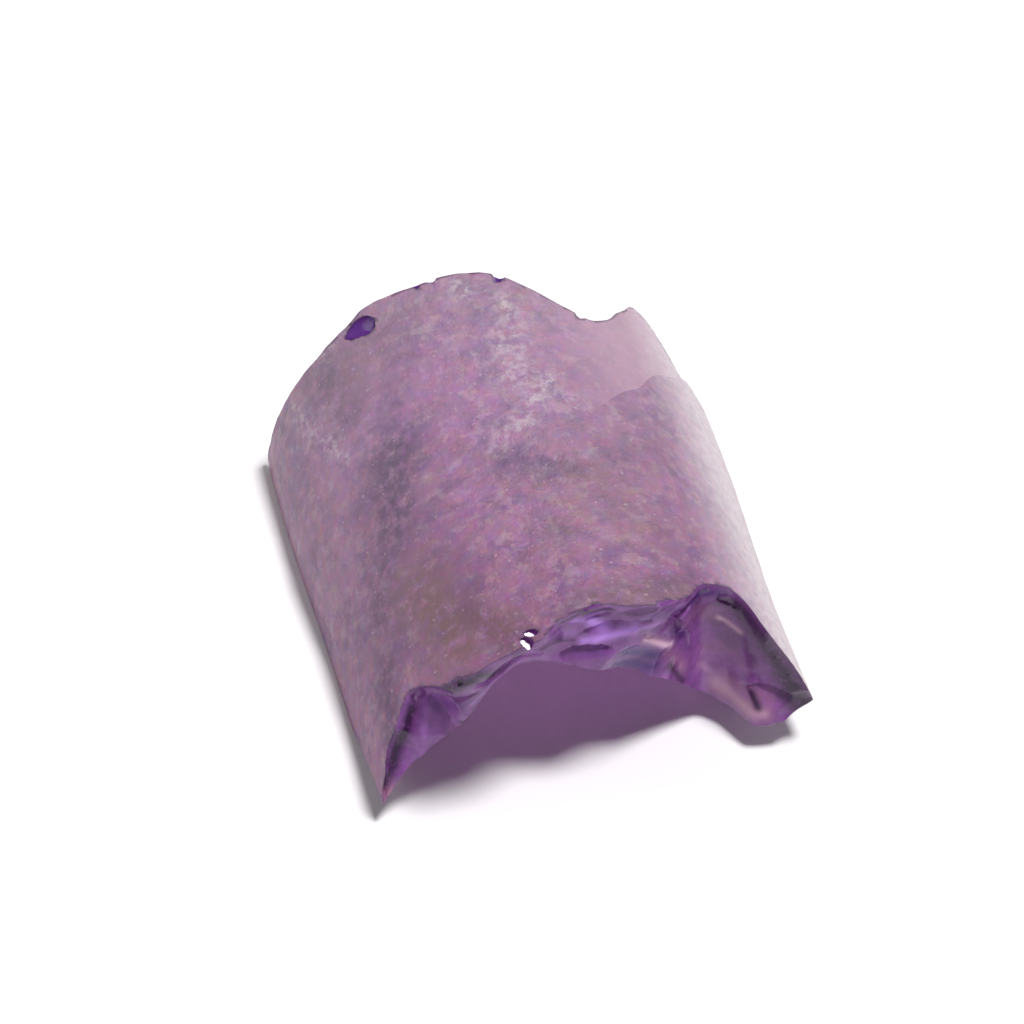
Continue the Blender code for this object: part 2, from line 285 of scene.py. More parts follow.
def lost_rock(name, u_range, v_range, step, near, far, surface=FRESH_BREAK):
    """The rock lost beyond a break: a grid over u and v shaped by near, joined to one shaped by far."""
    block = bmesh.new()
    counts = [int((high - low) / step) for low, high in (u_range, v_range)]
    bmesh.ops.create_grid(block, x_segments=counts[0], y_segments=counts[1], size=0.5)
    near_side = block.verts[:]
    extruded = bmesh.ops.extrude_face_region(block, geom=block.faces[:])
    far_side = [e for e in extruded["geom"] if isinstance(e, bmesh.types.BMVert)]
    for side, shape in ((near_side, near), (far_side, far)):
        places = np.array([corner.co for corner in side]) + 0.5
        u, v = between(u_range, places[:, 0]), between(v_range, places[:, 1])
        for corner, place in zip(side, np.column_stack(np.broadcast_arrays(*shape(u, v)))):
            corner.co = place
    return new_object(name, block, surface)


side = SKIN_RADIUS[1] + CUT_MARGIN
all_across, all_up = (-side, side), (-CUT_MARGIN - OFF_THE_FLOOR, side)
lost = [
    lost_rock(
        "front_break", all_across, all_up, FRONT_STEP,
        lambda u, v: (u, front_break(u, v), v), lambda u, v: (u, FRONT_END - CUT_DEPTH, v),
    )
]


# The back break: the boule snapped here too, in the same shell-shaped way. At the right corner a piece
# more was lost, which left a notch with a horn beside it.
BACK_RIM = [
    (-13.3, 13.4), (-11.0, 13.55), (-8.4, 13.5), (-5.7, 14.1), (-2.6, 14.1), (0.3, 13.4),
    (2.4, 12.15), (5.0, 10.2), (6.2, 9.5), (7.0, 9.7), (8.6, 11.4), (9.5, 12.4), (10.1, 12.1), (10.9, 10.2),
    (11.5, 7.9), (12.2, 7.0), (13.3, 6.4),
]
BACK_FOOT = [
    (-13.3, 12.6), (-9.0, 12.9), (-3.0, 12.4), (3.0, 11.2), (6.5, 9.6), (9.5, 10.4), (13.3, 7.4),
]
BACK_BITES = [
    ((-9.5, 6.0), 6.0, 0.70), ((-3.0, 10.6), 4.2, 0.55), ((2.2, 8.8), 3.0, 0.50),
    ((8.2, 5.2), 5.0, 0.80), ((10.6, 2.0), 2.4, 0.40), ((-12.0, 2.2), 2.0, 0.35),
]
BACK_LUMPS = [(1.6, 0.08, 3), (0.6, 0.04, 4)]
BACK_LUMPS_SHIFT = 9.0
BACK_STEP = 0.25
# The trough's middle, half its width and its height, at the front and at the back end of the stone.
TROUGH_MIDDLE = (-2.6, -2.0)
TROUGH_HALF_WIDTH = (9.4, 8.5)
TROUGH_HEIGHT = (9.3, 6.2)
TROUGH_LEFT_POWER, TROUGH_RIGHT_POWER = 2.1, 2.5


def trough_height(across, along):
    """How high the plain trough's roof stands above the floor. Below zero there is no trough."""
    share = towards_back(along)
    offset = (across - between(TROUGH_MIDDLE, share)) / between(TROUGH_HALF_WIDTH, share)
    power = np.where(offset < 0, TROUGH_LEFT_POWER, TROUGH_RIGHT_POWER)
    return between(TROUGH_HEIGHT, share) * (1 - np.abs(offset) ** power)


def back_break(across, up):
    roof = np.maximum(trough_height(across, BACK_END), 0.0)
    rough = lumpy(np.column_stack([across, up * 0 + BACK_LUMPS_SHIFT, up]), BACK_LUMPS)
    lies = from_foot_to_rim(BACK_FOOT, BACK_RIM, across, up, roof)
    return lies - shells(across, up, BACK_BITES, RIPPLE_DEPTH) + rough


lost.append(
    lost_rock(
        "back_break", all_across, all_up, BACK_STEP,
        lambda u, v: (u, back_break(u, v), v), lambda u, v: (u, BACK_END + CUT_DEPTH, v),
    )
)


# The split side: the boule was split along its length, and a trough was lost from the middle. At the
# front it opens in an arch whose two feet stand off the floor. The rest lies on two flat lands.
ROOF_BITES = [
    ((-4.6, -9.6), 7.0, 0.60), ((0.6, -4.2), 6.0, 0.65), ((-5.2, 1.4), 6.5, 0.55),
    ((-0.6, 6.6), 5.5, 0.60), ((-6.0, 10.2), 4.5, 0.50), ((3.6, -9.0), 3.6, 0.45),
    ((4.2, 2.0), 3.4, 0.40),
]
ARCH_FROM, ARCH_FADES = -14.0, -5.0
UNDER_FLOOR = 0.5
ROOF_LUMPS = [(1.8, 0.08, 5), (0.7, 0.04, 6)]
ROOF_LUMPS_SHIFT = -9.0
ROOF_STEP = 0.30


def underside(across, along):
    roof = trough_height(across, along)
    rough = lumpy(np.column_stack([across, along, along * 0 + ROOF_LUMPS_SHIFT]), ROOF_LUMPS)
    carved = roof + (shells(across, along, ROOF_BITES, RIPPLE_DEPTH) + rough) * np.clip(roof, 0.0, 1.0)
    roof = np.where(roof > 0, carved, np.maximum(roof, -UNDER_FLOOR))
    at_front = ease((ARCH_FADES - along) / (ARCH_FADES - ARCH_FROM))
    return between((roof, curve_through(FRONT_ARCH, across)), at_front)


lost.append(
    lost_rock(
        "split_side", all_across, (FRONT_END - CUT_DEPTH, BACK_END + CUT_DEPTH), ROOF_STEP,
        lambda u, v: (u, v, underside(u, v)), lambda u, v: (u, v, -CUT_DEPTH), SPLIT_SIDE,
    )
)


# The flake scar: a thin shell of skin came off the right back part, and left a low step and a
# smoother, paler floor behind it. Its edge is (degrees round, along).
SCAR_EDGE = [
    (20, 8.2), (29, 7.2), (36, 6.5), (45, 5.3), (53, 3.7), (59, 3.1), (68, 1.9), (78, 0.9), (88, -0.4),
    (98, -1.8),
]
SCAR_DEPTH = 0.22
SCAR_STEP = 0.45
SCAR_FADES_OVER = 34.0
SCAR_WAVES = [(0.25, 9, 0), (0.12, 23, 1)]
SCAR_LUMPS = [(3.5, 0.06, 7)]
SCAR_GRID = 0.30


def along_at(angle, behind_edge):
    wander = sum(reach * np.sin(often * angle + start) for reach, often, start in SCAR_WAVES)
    return curve_through(SCAR_EDGE, np.degrees(angle)) + behind_edge + wander


def scar_floor(turn, behind_edge):
    angle = turn / SKIN_RADIUS[1]
    along = along_at(angle, behind_edge)
    to_the_end = np.radians(SCAR_EDGE[-1][0]) - angle
    fading = ease(to_the_end / np.radians(SCAR_FADES_OVER))
    step = np.clip(1 - behind_edge / SCAR_STEP, 0.0, 1.0)
    radius = skin_radius(angle, along) - SCAR_DEPTH * (2 * fading - 1) + CUT_MARGIN * step
    places = np.column_stack(round_the_boule(angle, radius, along))
    radius = radius + lumpy(places, SCAR_LUMPS)
    return round_the_boule(angle, radius, along)


def over_scar(turn, behind_edge):
    angle = turn / SKIN_RADIUS[1]
    return round_the_boule(angle, SKIN_RADIUS[1] + 2 * CUT_MARGIN, along_at(angle, behind_edge))


scar_turn = (-CUT_MARGIN, np.radians(SCAR_EDGE[-1][0]) * SKIN_RADIUS[1])
scar_along = (0.0, BACK_END + SKIN_REACH)
lost.append(
    lost_rock("flake_scar", scar_turn, scar_along, SCAR_GRID, scar_floor, over_scar, FLAKE_SCAR)
)


# Chips along the sharp edges, from handling. Each one is a small shell knocked off the corner between
# the skin and the break, and is given as degrees round, radius and depth.
FRONT_CHIPS = [
    (159, 0.9, 0.18), (131, 0.9, 0.16), (90, 0.8, 0.09), (71, 0.9, 0.10),
    (51, 0.7, 0.16), (38, 0.8, 0.24), (26, 0.9, 0.26),
]
BACK_CHIPS = [
    (152, 0.9, 0.16), (137, 1.0, 0.12), (95, 0.9, 0.12), (64, 1.0, 0.16), (36, 0.9, 0.20),
]
CHIP_UNEVEN = 0.45
CHIP_LUMPS = 0.7


def knocked_off(name, shells_off):
    """Uneven balls of rock to be lost: the middle of each, and its half lengths along three axes."""
    rock = bmesh.new()
    for middle, axes in shells_off:
        ball = bmesh.ops.create_icosphere(rock, subdivisions=4, radius=1.0)
        for corner in ball["verts"]:
            place = Vector(middle) + axes @ corner.co
            size = max(axes.col[0].length, axes.col[1].length)
            corner.co = place + axes @ corner.co * CHIP_UNEVEN * noise.noise(place / (CHIP_LUMPS * size))
    lost.append(new_object(name, rock, FRESH_BREAK))


for name, chips, rim, outwards in (
    ("front_chips", FRONT_CHIPS, FRONT_RIM, -1), ("back_chips", BACK_CHIPS, BACK_RIM, 1)
):
    # The ball's middle stands off the corner, half outwards from the skin and half beyond the break.
    shells_off = []
    for degrees, radius, depth in chips:
        angle = np.radians(degrees)
        along = curve_through(rim, SKIN_RADIUS[0] * np.cos(angle))
        away = (radius - depth) / np.sqrt(2)
        middle = round_the_boule(angle, skin_radius(angle, along) + away, along + outwards * away)
        shells_off.append((middle, Matrix.Diagonal((radius, radius, radius))))
    knocked_off(name, shells_off)

# Flakes came off the skin itself at the back rim, and show the violet inside. Each has its place as
# degrees round and along, its radius and its depth.
SKIN_FLAKES = [(123.5, 12.95, 3.2, 0.20), (102, 13.85, 1.3, 0.12), (84, 12.85, 1.0, 0.06)]
shells_off = []
for degrees, along, radius, depth in SKIN_FLAKES:
    angle = np.radians(degrees)
    middle = round_the_boule(angle, skin_radius(angle, along) + radius - depth, along)
    shells_off.append((middle, Matrix.Diagonal((radius, radius, radius))))
knocked_off("skin_flakes", shells_off)

# Two small flats at the front rim face up and a little forward, and glint. Each has its middle, the way
# that it runs, and half its length and width.
FACES_UP = Vector((0.063, -0.362, 0.930))
FLAT_CORNERS = 14
FLATS = [
    ("lower_flat", (-4.38, -14.12, 12.05), (0.5, -1.0, 0.0), (0.36, 0.24)),
    ("upper_flat", (-4.02, -13.66, 12.30), (1.0, -0.2, 0.0), (0.30, 0.20)),
]
for name, place, runs, half_lengths in FLATS:
    runs = Vector(runs) - FACES_UP * Vector(runs).dot(FACES_UP)
    runs.normalize()
    stretch = Matrix.Diagonal((*half_lengths, 1.0))
    axes = Matrix((runs, FACES_UP.cross(runs), FACES_UP)).transposed() @ stretch
    flat = bmesh.new()
    bmesh.ops.create_cone(flat, cap_ends=True, segments=FLAT_CORNERS, radius1=1.0, radius2=1.6, depth=1.0)
    middle = Vector(place) + FACES_UP * 0.5
    bmesh.ops.transform(flat, matrix=Matrix.Translation(middle) @ axes.to_4x4(), verts=flat.verts)
    lost.insert(0, new_object(name, flat, FRESH_BREAK))

# What was lost is cut from the half boule, and what is left is the stone. Slivers that the cuts leave
# open are closed.
SLIVER_SIDES = 6
SHARP_FROM = 26
for rock in lost:
    cut = stone.modifiers.new(rock.name, "BOOLEAN")
    cut.operation = "DIFFERENCE"
    cut.solver = "EXACT"
    cut.object = rock
seen = bpy.context.evaluated_depsgraph_get()
stone.data = bpy.data.meshes.new_from_object(stone.evaluated_get(seen), depsgraph=seen)
closed = bmesh.new()
closed.from_mesh(stone.data)
bmesh.ops.holes_fill(closed, edges=[edge for edge in closed.edges if edge.is_boundary], sides=SLIVER_SIDES)
closed.to_mesh(stone.data)
closed.free()
stone.data.name = "rough_stone"
stone.modifiers.clear()
for rock in lost:
    bpy.data.objects.remove(rock)
stone.data.transform(Matrix.Translation((-MIDDLE[0] * MM, -MIDDLE[1] * MM, 0.0)))
stone.data.shade_smooth()
stone.data.set_sharp_from_angle(angle=np.radians(SHARP_FROM))


# The marks in the skin and in the breaks. Rough alexandrite is cloudy here and there: milky flecks of
# tiny bubbles, earthy stains and dusky zones. In the breaks some facets are deep or rosy. Some marks are
# painted light and shade: a painted sheen low on the right flank, painted shade next to the front rim, a
# painted glow on lit facets, a painted glint, and painted shade in the pits, grooves and rims of the
# breaks.

# A mark runs between two places, with its half width in mm and its strength. On the skin a place is
# (degrees round, along).
SKIN_MARKS = {
    "milky_and_sheen": [
        ((95, 12.6), (95, 12.2), 0.7, 1.0), ((85, 10.9), (85, 9.8), 0.7, 1.0),
        ((87, 8.5), (90, 4.5), 1.2, 0.9), ((82, 4.0), (92, 1.2), 0.9, 1.0),
        ((95, 1.5), (100, 0.0), 0.7, 0.7), ((152, 12.0), (149, 9.0), 0.8, 0.9),
        ((146, 8.5), (140, 5.0), 0.6, 0.9), ((74, 2.2), (84, 3.4), 0.7, 0.6),
        # The milky marks from 22 degrees round on lie low on the right flank, and are painted sheen there.
        ((133, 12.9), (136, 12.5), 0.6, 0.9), ((22, 9.0), (18, 0.0), 3.4, 1.0),
        ((20, 0.0), (24, -9.0), 3.4, 0.95), ((24, -9.0), (30, -15.0), 2.6, 0.8),
    ],
    "earthy": [
        ((125, -11.8), (131, -7.0), 2.4, 1.0), ((112, -12.9), (118, -12.0), 1.6, 0.9),
        ((66, -12.8), (90, -12.6), 1.2, 0.6), ((78, -4.0), (70, -8.0), 2.2, 0.4),
        ((122, 10.5), (131, 9.0), 1.8, 0.5), ((86, -6.0), (98, -9.5), 1.6, 0.4),
    ],
    # Dusky zones in the skin, partly painted shade: the marks next to the front rim stand in for the shade
    # there.
    "dusky_and_painted_shade": [
        ((118, 8.5), (124, 4.0), 1.4, 0.6), ((125, 3.5), (133, -1.5), 2.2, 1.0),
        ((133, -1.5), (146, -6.0), 1.8, 0.8), ((111, -13.8), (122, -10.5), 1.0, 0.9),
        ((138, 11.0), (134, 8.0), 1.8, 0.8), ((100, -1.5), (84, -3.0), 1.5, 0.6),
        ((150, -9.0), (156, -13.0), 1.2, 0.8), ((60, -1.0), (72, -3.0), 2.0, 0.4),
        ((100, -13.0), (60, -11.6), 0.6, 0.5),
    ],
}
# In the breaks a place is (across, up).
BREAK_MARKS = {
    # Painted light: facets painted pale lavender where they shine with light through the crystal.
    "painted_glow": [
        ((-1.4, 12.4), (-0.3, 11.9), 0.26, 0.7), ((-0.3, 11.9), (0.5, 11.0), 0.46, 1.0),
        ((-0.8, 10.5), (2.2, 10.75), 0.32, 1.0), ((2.2, 10.75), (3.6, 10.4), 0.2, 0.5),
        ((-7.5, 7.5), (-5.3, 8.7), 0.17, 0.35), ((-9.5, 5.8), (-10.9, 3.9), 0.60, 0.12),
        ((-9.9, 6.7), (-10.3, 5.4), 0.25, 0.3), ((-2.6, 11.3), (-1.4, 11.2), 0.30, 0.4),
    ],
    "deep": [
        ((-1.1, 9.7), (0.3, 9.6), 0.35, 0.4), ((1.6, 8.9), (3.5, 7.5), 0.55, 1.0),
        ((1.2, 7.9), (3.4, 6.6), 0.5, 0.9), ((6.4, 10.0), (8.0, 9.2), 0.5, 0.8),
        ((5.0, 8.6), (5.6, 7.4), 0.35, 0.7), ((2.4, 11.5), (6.2, 10.5), 0.35, 0.5),
        ((-9.3, 7.0), (-8.3, 7.6), 0.5, 0.5),
    ],
    # Painted shade in the breaks: dark in pits, grooves and under chips, and along the dark band of the
    # rims.
    "painted_break_shade": [
        ((-10.7, 6.6), (-11.4, 5.2), 0.32, 1.0), ((-11.4, 5.2), (-12.2, 3.6), 0.38, 1.0),
        ((-12.2, 3.6), (-12.9, 2.6), 0.3, 0.9), ((-10.0, 8.2), (-8.9, 9.2), 0.30, 0.7),
        ((-8.9, 9.2), (-7.1, 10.5), 0.60, 1.0), ((-7.1, 10.5), (-5.6, 9.7), 0.60, 1.0),
        ((-5.6, 9.9), (-4.7, 11.6), 0.45, 0.7), ((-8.1, 6.2), (-6.2, 7.6), 0.15, 1.0),
        ((-0.9, 12.9), (0.9, 12.5), 0.20, 0.9), ((-2.3, 12.6), (-0.9, 12.95), 0.12, 0.7),
        ((1.3, 12.2), (5.7, 11.4), 0.14, 0.4), ((-3.4, 10.8), (-1.3, 10.6), 0.08, 0.7),
        ((4.6, 5.8), (5.4, 4.0), 0.22, 0.8), ((9.15, 3.6), (9.35, 2.9), 0.25, 1.0),
        ((8.0, 8.5), (8.9, 8.3), 0.35, 0.7), ((8.9, 8.3), (9.9, 7.3), 0.65, 0.95),
        ((9.9, 7.3), (11.0, 5.3), 0.80, 0.95), ((11.0, 5.3), (12.0, 3.0), 0.95, 1.0),
        ((8.2, 6.8), (9.2, 5.4), 0.9, 0.35),
    ],
    "pale_and_glint": [
        ((2.9, 9.4), (4.6, 7.7), 0.22, 1.0), ((7.6, 3.0), (8.8, 2.5), 0.50, 0.55),
        ((8.8, 2.5), (9.6, 2.6), 0.3, 0.5), ((6.7, 4.2), (7.4, 3.4), 0.3, 0.3),
        # A painted glint: a white stroke in the bite at the right, in place of the lamp's reflection there.
        ((7.9, 7.3), (8.95, 6.7), 0.16, 1.0),
    ],
    "rosy": [
        ((4.4, 7.3), (5.5, 4.9), 0.40, 0.6), ((7.7, 2.6), (9.6, 2.8), 0.6, 0.9),
        ((8.2, 3.5), (10.0, 3.4), 0.5, 0.6), ((6.9, 5.2), (8.7, 5.2), 0.7, 0.3),
        ((-12.9, 1.4), (-12.6, 2.2), 0.45, 1.0), ((5.8, 9.0), (7.6, 7.6), 0.7, 0.45),
    ],
}
# The marks in the breaks are at the front end, and at the back end the top of the break is deep. On the
# right flank, below these degrees round, the scar's floor is pale and the skin is frosted with a painted
# sheen, and each comes up over as many degrees as its second value says. The skin is also painted paler
# towards the back.
MARKED_IN_FRONT_OF = -8
DEEP_AT_BACK = 0.8
DEEP_FROM, DEEP_ABOVE, DEEP_OVER = 10.5, 8, 2
FLAKED_BELOW, FLAKED_OVER = 80, 26
SHEEN_AND_FROST_BELOW, SHEEN_AND_FROST_OVER = 62, 36
PALER_AT_BACK = 0.28
count = len(stone.data.vertices)
corners = np.empty(count * 3)
stone.data.vertices.foreach_get("co", corners)
corners = corners.reshape(-1, 3) / MM + (MIDDLE[0], MIDDLE[1], 0.0)
degrees_round = np.degrees(np.arctan2(corners[:, 2], corners[:, 0]))
mm_per_degree = np.radians(SKIN_RADIUS[1])


def marked(u, v, marks):
    """How strongly the marks show at each place."""
    amount = np.zeros(len(u))
    for first, last, half_width, strength in marks:
        run = np.subtract(last, first)
        share = np.clip(((u - first[0]) * run[0] + (v - first[1]) * run[1]) / (run @ run), 0.0, 1.0)
        away = np.hypot(u - first[0] - share * run[0], v - first[1] - share * run[1])
        amount = np.maximum(amount, strength * np.exp(-((away / half_width) ** 2)))
    return amount


def add_mask(name, amount, domain="POINT"):
    stone.data.attributes.new(name, "FLOAT", domain).data.foreach_set("value", amount)


for name, marks in SKIN_MARKS.items():
    unrolled = [
        ((a[0] * mm_per_degree, a[1]), (b[0] * mm_per_degree, b[1]), wide, strength)
        for a, b, wide, strength in marks
    ]
    add_mask(name, marked(degrees_round * mm_per_degree, corners[:, 1], unrolled))
at_front = corners[:, 1] < MARKED_IN_FRONT_OF
near_top = ease((corners[:, 2] - DEEP_ABOVE) / DEEP_OVER)
at_back_top = DEEP_AT_BACK * ease(corners[:, 1] - DEEP_FROM) * near_top
for name, marks in BREAK_MARKS.items():
    in_break = marked(corners[:, 0], corners[:, 2], marks) * at_front
    add_mask(name, np.maximum(in_break, at_back_top) if name == "deep" else in_break)
add_mask("flaked", ease((FLAKED_BELOW - degrees_round) / FLAKED_OVER))
# The frost on the right flank carries a painted sheen, and the skin is painted paler towards the back.
flank_frost_and_sheen = ease((SHEEN_AND_FROST_BELOW - degrees_round) / SHEEN_AND_FROST_OVER)
frost_and_sheen_share = np.maximum(flank_frost_and_sheen, PALER_AT_BACK * towards_back(corners[:, 1]))
add_mask("frost_sheen_and_paler_back", frost_and_sheen_share * (corners[:, 2] > 0))

# Each face knows what surface it is, and the edges between the skin and the breaks are painted dark, a
# painted shade along the rims.
surfaces = np.empty(len(stone.data.polygons), dtype=np.int32)
stone.data.polygons.foreach_get("material_index", surfaces)
add_mask("fresh", ((surfaces == FRESH_BREAK) | (surfaces == SPLIT_SIDE)) * 1.0, "FACE")
add_mask("scar", (surfaces == FLAKE_SCAR) * 1.0, "FACE")
add_mask("trough", (surfaces == SPLIT_SIDE) * 1.0, "FACE")
each_corner = np.empty(len(stone.data.loops), dtype=np.int32)
stone.data.loops.foreach_get("vertex_index", each_corner)
sides = np.empty(len(surfaces), dtype=np.int32)
stone.data.polygons.foreach_get("loop_total", sides)
of_face = np.repeat(surfaces, sides)
on_skin, on_break = np.zeros(count), np.zeros(count)
on_skin[each_corner[(of_face == GROWN_SKIN) | (of_face == FLAKE_SCAR)]] = 1.0
on_break[each_corner[of_face == FRESH_BREAK]] = 1.0
add_mask("painted_rim_shade", on_skin * on_break)
stone.data.polygons.foreach_set("material_index", surfaces * 0)
stone.data.materials.clear()


# Alexandrite: a hard violet crystal, clear inside, of IOR 1.75, that takes its colour from the length of
# crystal that the light crosses. The skin is frosted by its growth and is dull and mauve. The breaks are
# as the crystal snapped, glassy and violet.
def linear(hex_colour):
    """An sRGB hex colour as the linear colour that the nodes want."""
    parts = [int(hex_colour[i : i + 2], 16) / 255 for i in (1, 3, 5)]
    return [p / 12.92 if p <= 0.04045 else ((p + 0.055) / 1.055) ** 2.4 for p in parts] + [1.0]


alexandrite = bpy.data.materials.new("grown alexandrite")
alexandrite.use_nodes = True
tree = alexandrite.node_tree
shader = tree.nodes["Principled BSDF"]
output = tree.nodes["Material Output"]


def add(kind, inputs=(), **settings):
    """Adds a node. Each input is a value, a hex colour or another node's output."""
    made = tree.nodes.new(kind)
    for key, value in settings.items():
        setattr(made, key, value)
    for key, value in dict(inputs).items():
        if isinstance(value, bpy.types.NodeSocket):
            tree.links.new(value, made.inputs[key])
        else:
            made.inputs[key].default_value = linear(value) if isinstance(value, str) else value
    return made


where = add("ShaderNodeTexCoord").outputs["Object"]
masks = {
    name: add("ShaderNodeAttribute", attribute_name=name).outputs["Fac"]
    for name in (*SKIN_MARKS, *BREAK_MARKS, "flaked", "frost_sheen_and_paler_back", "fresh", "scar", "trough", "painted_rim_shade")
}
masks["scar floor"] = add(
    "ShaderNodeMath", {0: masks["scar"], 1: masks["flaked"]}, operation="MULTIPLY"
).outputs[0]

# Uneven patterns in the stone: the size of the lumps in mm, how much finer detail they have and how
# strong it is, and between which values of the noise a pattern comes up from nothing to full.
PATTERNS = {
    "broad": (5.0, 2.0, 0.55, 0.30, 0.70),
    "blotches": (1.9, 5.0, 0.65, 0.46, 0.62),
    "flecks": (0.9, 6.0, 0.70, 0.52, 0.60),
    "stains": (0.7, 5.0, 0.70, 0.34, 0.56),
    "bubbles": (0.5, 5.0, 0.70, 0.46, 0.62),
    "specks": (0.32, 2.0, 0.50, 0.68, 0.72),
    "frost_and_sheen_share": (0.6, 5.0, 0.70, -0.10, 0.58),
    "clouds": (0.9, 5.0, 0.65, 0.40, 0.60),
    "rosy spots": (0.8, 3.0, 0.55, 0.10, 0.50),
    "crumbs": (0.5, 4.0, 0.70, 0.20, 0.45),
    "dull skin": (0.8, 3.0, 0.55, 0.35, 0.65),
    "dull break": (1.5, 3.0, 0.55, 0.35, 0.65),
    "fine grain": (0.35, 4.0, 0.70, 0.20, 0.80),
    "coarse grain": (1.2, 3.0, 0.60, 0.20, 0.80),
}
patterns = {}
for name, (size_mm, detail, strong, low, high) in PATTERNS.items():
    shift = (size_mm * 0.017, size_mm * 0.011, 0.0)
    shifted = add("ShaderNodeVectorMath", {0: where, 1: shift}, operation="ADD")
    clouded = add("ShaderNodeTexNoise", {
        "Vector": shifted.outputs[0], "Scale": 1 / (size_mm * MM), "Detail": detail, "Roughness": strong,
    })
    patterns[name] = add("ShaderNodeMapRange", {0: clouded.outputs["Fac"], 1: low, 2: high}).outputs[0]
hue_mm = 0.8
hues = add("ShaderNodeTexNoise", {
    "Vector": where, "Scale": 1 / (hue_mm * MM), "Detail": 6.0, "Roughness": 0.72,
}).outputs["Color"]

# The colours of the skin and of the breaks, laid one over the other. Each has the mask and the pattern
# that it shows in, how strongly it covers, and its colour. The hues only tint what is under them.
colours = {"skin": "#ae70a4", "break": "#b068c4"}
LAYERS = [
    ("skin", None, "broad", 1.0, "#c68ab4"),
    ("skin", None, "blotches", 0.7, "#8a6096"),
    ("skin", None, "flecks", 0.5, "#dcb6c8"),
    ("skin", None, None, 0.68, hues),
    # Dusky zones, and painted shade next to the front rim.
    ("skin", "dusky_and_painted_shade", "stains", 1.0, "#5c3e68"),
    ("skin", "earthy", "stains", 1.0, "#96706f"),
    # Milky flecks, and a painted sheen low on the right flank.
    ("skin", "milky_and_sheen", "bubbles", 1.0, "#ead8e2"),
    ("skin", None, "specks", 0.45, "#f4e2ea"),
    ("skin", "scar floor", None, 0.65, "#e8bcd4"),
    # Frost with a painted sheen on the right flank, and paler towards the back.
    ("skin", "frost_sheen_and_paler_back", "frost_and_sheen_share", 1.0, "#f2e8ec"),
    # Painted shade along the rims.
    ("skin", "painted_rim_shade", None, 0.9, "#4a3056"),
    ("break", None, "clouds", 1.0, "#985aaa"),
    ("break", "trough", None, 1.0, "#dc98f0"),
    ("break", "rosy", "rosy spots", 1.0, "#c888b0"),
    ("break", "deep", None, 1.0, "#5e2f92"),
    # Painted light and shade in the breaks: the lavender is a painted glow, one of the pale strokes is a
    # painted glint, and the dark marks are painted shade.
    ("break", "painted_glow", None, 1.0, "#d49cff"),
    ("break", "pale_and_glint", None, 1.0, "#f0c4dc"),
    ("break", "painted_break_shade", "crumbs", 1.0, "#3a1846"),
    # Painted shade along the rims.
    ("break", "painted_rim_shade", None, 0.6, "#4a3058"),
]
for surface, mask, pattern, covers, colour in LAYERS:
    share = covers
    for weight in (masks.get(mask), patterns.get(pattern)):
        if weight is not None and share == 1.0:
            share = weight
        elif weight is not None:
            share = add("ShaderNodeMath", {0: share, 1: weight}, operation="MULTIPLY").outputs[0]
    way = "MIX" if isinstance(colour, str) else "OVERLAY"
    ends = {0: share, 6: colours[surface], 7: colour}
    colours[surface] = add("ShaderNodeMix", ends, data_type="RGBA", blend_type=way).outputs[2]
seen_colour = add(
    "ShaderNodeMix", {0: masks["fresh"], 6: colours["skin"], 7: colours["break"]}, data_type="RGBA"
).outputs[2]
tree.links.new(seen_colour, shader.inputs["Base Color"])

# How clear the surface is: least where a facet has its painted glow or glint or the skin its frost and
# painted sheen, most in the trough.
SKIN_CLEAR, SHEEN_AND_FROST_CLEAR = 0.52, 0.30
BREAK_CLEAR, TROUGH_CLEAR, PAINTED_GLOW_CLEAR = 0.42, 0.80, 0.12
clear = add("ShaderNodeMapRange", {0: masks["frost_sheen_and_paler_back"], 3: SKIN_CLEAR, 4: SHEEN_AND_FROST_CLEAR}).outputs[0]
clear = add("ShaderNodeMix", {0: masks["fresh"], 2: clear, 3: BREAK_CLEAR}).outputs[0]
clear = add("ShaderNodeMapRange", {0: masks["trough"], 3: clear, 4: TROUGH_CLEAR}).outputs[0]
painted_glow_and_glint = add("ShaderNodeMath", {0: masks["painted_glow"], 1: masks["pale_and_glint"]}, operation="MAXIMUM").outputs[0]
clear = add("ShaderNodeMapRange", {0: painted_glow_and_glint, 3: clear, 4: PAINTED_GLOW_CLEAR}).outputs[0]
tree.links.new(clear, shader.inputs["Transmission Weight"])

# The skin is dull and the breaks are glossy, both unevenly.
SKIN_ROUGH, BREAK_ROUGH = (0.42, 0.62), (0.04, 0.16)
skin_rough = add(
    "ShaderNodeMapRange", {0: patterns["dull skin"], 3: SKIN_ROUGH[0], 4: SKIN_ROUGH[1]}
).outputs[0]
break_rough = add(
    "ShaderNodeMapRange", {0: patterns["dull break"], 3: BREAK_ROUGH[0], 4: BREAK_ROUGH[1]}
).outputs[0]
rough = add("ShaderNodeMix", {0: masks["fresh"], 2: skin_rough, 3: break_rough}).outputs[0]
tree.links.new(rough, shader.inputs["Roughness"])
shader.inputs["IOR"].default_value = 1.75
shader.inputs["Specular IOR Level"].default_value = 0.14

# The grain of the skin, which the breaks have a quarter of. The real grain is finer, and is drawn as
# coarse as it needs to show.
GRAIN_HEIGHT = 0.06
BREAK_GRAIN = 0.25
height = add(
    "ShaderNodeMath", {0: patterns["fine grain"], 1: patterns["coarse grain"]}, operation="ADD"
).outputs[0]
relief = add("ShaderNodeMix", {0: masks["fresh"], 2: 1.0, 3: BREAK_GRAIN}).outputs[0]
bump = add("ShaderNodeBump", {"Strength": relief, "Distance": GRAIN_HEIGHT * MM, "Height": height})
tree.links.new(bump.outputs[0], shader.inputs["Normal"])

# The crystal takes out green light most, and so looks violet where it is thick.
inside = add("ShaderNodeVolumeAbsorption", {"Color": "#ce61d7", "Density": 100.0})
tree.links.new(inside.outputs[0], output.inputs["Volume"])

stone.data.materials.append(alexandrite)
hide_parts("alexandrite_rough")
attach(stone, "root")


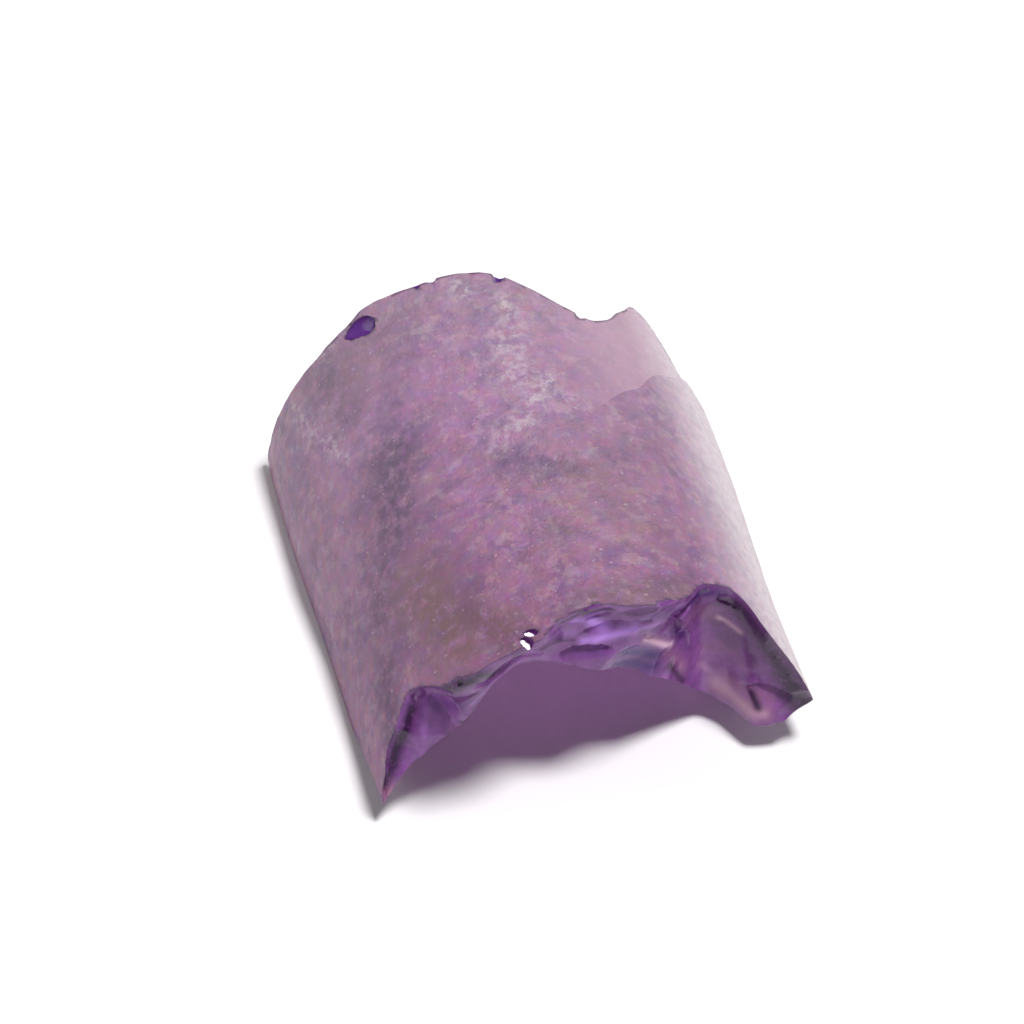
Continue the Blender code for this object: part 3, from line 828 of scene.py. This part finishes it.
# What the stone lies on: a sheet of matt white paper that runs far past the view, just under the stone
# so that the two don't share a surface.
FLOOR_HALF_WIDTH = 3
UNDER_THE_STONE = 0.00002
sheet = bmesh.new()
bmesh.ops.create_grid(sheet, x_segments=1, y_segments=1, size=FLOOR_HALF_WIDTH)
floor_mesh = bpy.data.meshes.new("floor")
sheet.to_mesh(floor_mesh)
sheet.free()
floor = bpy.data.objects.new("floor", floor_mesh)
bpy.context.collection.objects.link(floor)
floor.location.z = -UNDER_THE_STONE
paper = bpy.data.materials.new("matt white paper")
paper.use_nodes = True
paper_shader = paper.node_tree.nodes["Principled BSDF"]
paper_shader.inputs["Base Color"].default_value = linear("#f6f4f5")
paper_shader.inputs["Roughness"].default_value = 0.9
paper_shader.inputs["Specular IOR Level"].default_value = 0.1
floor_mesh.materials.append(paper)


# Round soft lamps: one above, a little to the right, gives the shadow, and wide weak ones stand for the
# ceiling and the walls of a pale room. Each has its direction, its width in metres and its watts.
LAMPS_AWAY = 0.6
LAMPS = [
    ("overhead", (0.30, -0.04, 1.0), 0.14, 3.6),
    ("ceiling", (0.0, 0.2, 1.0), 0.80, 0.2),
    ("right_wall", (1.0, 0.60, 0.60), 0.50, 0.6),
    ("left_wall", (-1.0, 0.25, 0.50), 0.50, 1.0),
    ("front_wall", (-0.2, -1.0, 0.30), 0.50, 0.30),
]
for name, direction, width, watts in LAMPS:
    lamp = bpy.data.lights.new(name, "AREA")
    lamp.shape = "DISK"
    lamp.size = width
    lamp.energy = watts
    shone = bpy.data.objects.new(name, lamp)
    toward = Vector(direction).normalized()
    shone.location = LOOKS_AT + toward * LAMPS_AWAY
    shone.rotation_euler = toward.to_track_quat("Z", "Y").to_euler()
    bpy.context.collection.objects.link(shone)
room = bpy.data.worlds.new("room")
bpy.context.scene.world = room
room.use_nodes = True
room.node_tree.nodes["Background"].inputs["Color"].default_value = linear("#fffeff")
room.node_tree.nodes["Background"].inputs["Strength"].default_value = 0.04
bpy.context.scene.view_settings.view_transform = "Standard"
bpy.context.scene.cycles.use_denoising = True
